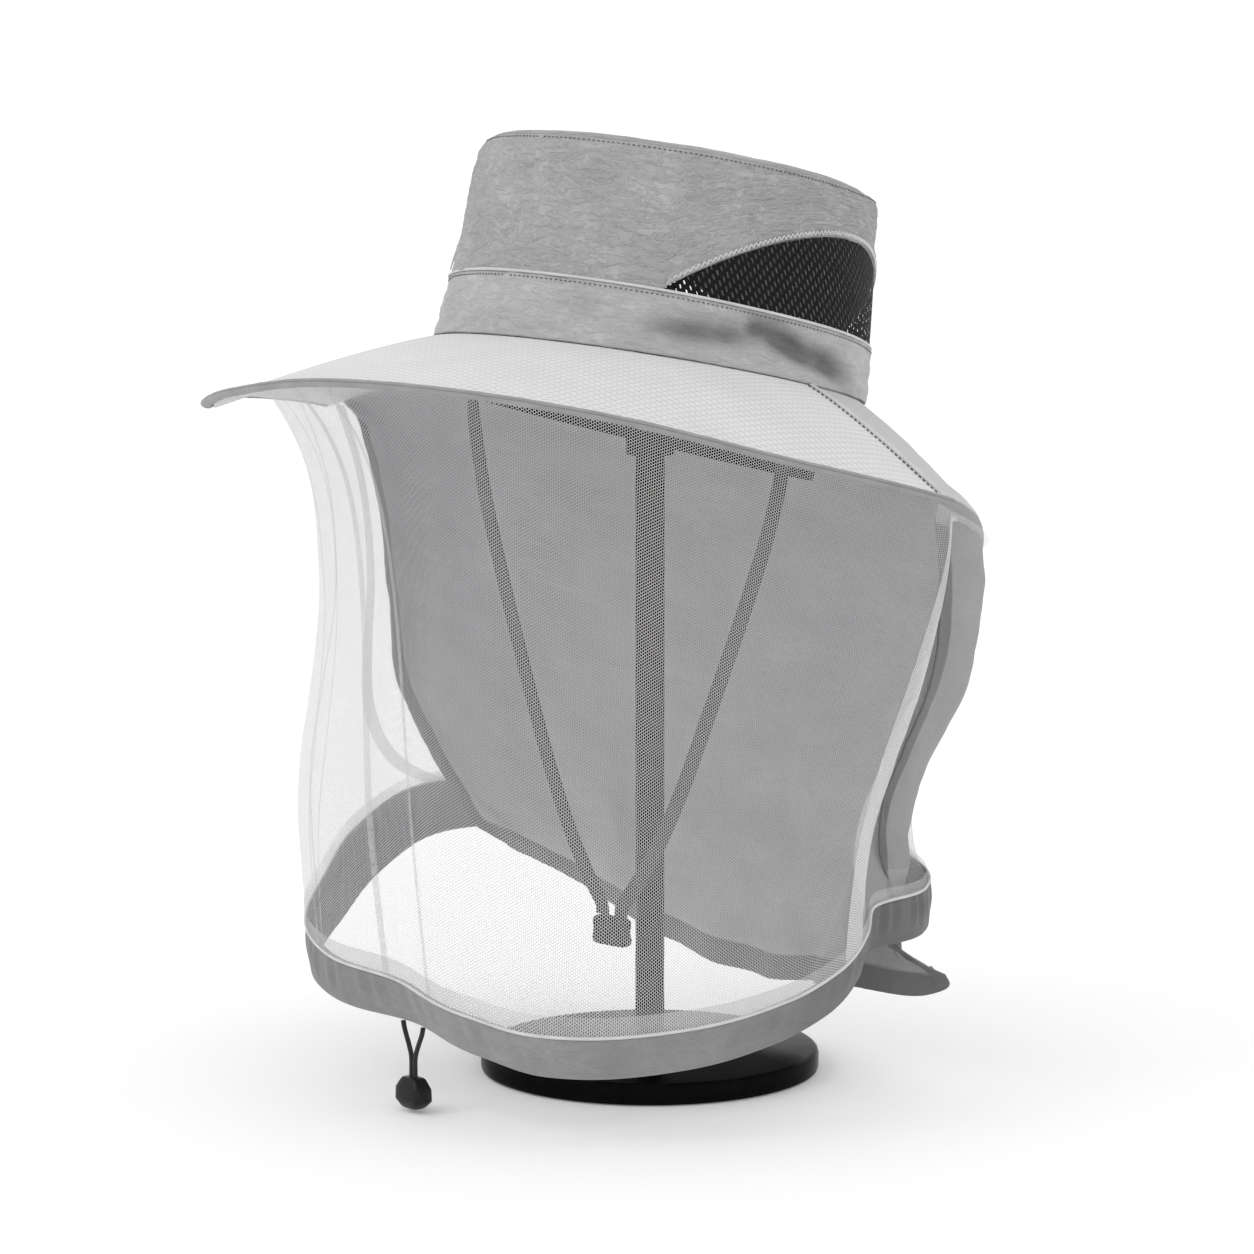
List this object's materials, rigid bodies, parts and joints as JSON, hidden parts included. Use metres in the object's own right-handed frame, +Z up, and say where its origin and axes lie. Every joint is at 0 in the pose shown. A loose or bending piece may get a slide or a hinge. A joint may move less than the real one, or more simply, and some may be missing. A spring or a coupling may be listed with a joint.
{
  "type": "mesh bucket hat with insect net on a hat stand",
  "caption": "Light grey bucket hat with mesh vents, stiff front brim, neck flap, hanging insect net with a drawn casing and a chin strap, on a plain round stand.",
  "frame": {"origin": "middle of the underside of the stand's foot, on the surface that it stands on", "axes": "+Z up along the stand's post, the hat's front towards -Y, the wearer's left towards +X"},
  "size_m": [0.3343, 0.3122, 0.3941],
  "materials": {
    "hat_fabric": "crinkled thin woven nylon",
    "brim_fabric": "fine dash weave, matt",
    "binding_tape": "ribbed edge tape",
    "vent_mesh": "knitted mesh with small oval holes",
    "flap_fabric": "thin woven nylon",
    "insect_net": "fine see-through hexagonal net",
    "casing_fabric": "thin woven nylon, gathered",
    "black_cord": "braided cord",
    "black_tape": "flat woven tape",
    "black_plastic": "moulded, glossy",
    "stand_lacquer": "glossy dark lacquer"
  },
  "bodies": {
    "root": {"crown_tip": "hat_fabric", "crown_side": "hat_fabric", "vent_left": "vent_mesh", "vent_right": "vent_mesh", "crown_band": "hat_fabric", "brim": "brim_fabric", "brim_binding": "binding_tape", "neck_flap": "flap_fabric", "net": "insect_net", "net_casing": "casing_fabric", "drawstring_a": "black_cord", "drawstring_b": "black_cord", "cord_lock": "black_plastic", "chin_strap_left": "black_tape", "chin_strap_right": "black_tape", "chin_slider": "black_plastic", "stand_foot": "stand_lacquer", "stand_post": "stand_lacquer", "stand_ring": "stand_lacquer", "stand_cap": "stand_lacquer"}
  },
  "joints": []
}
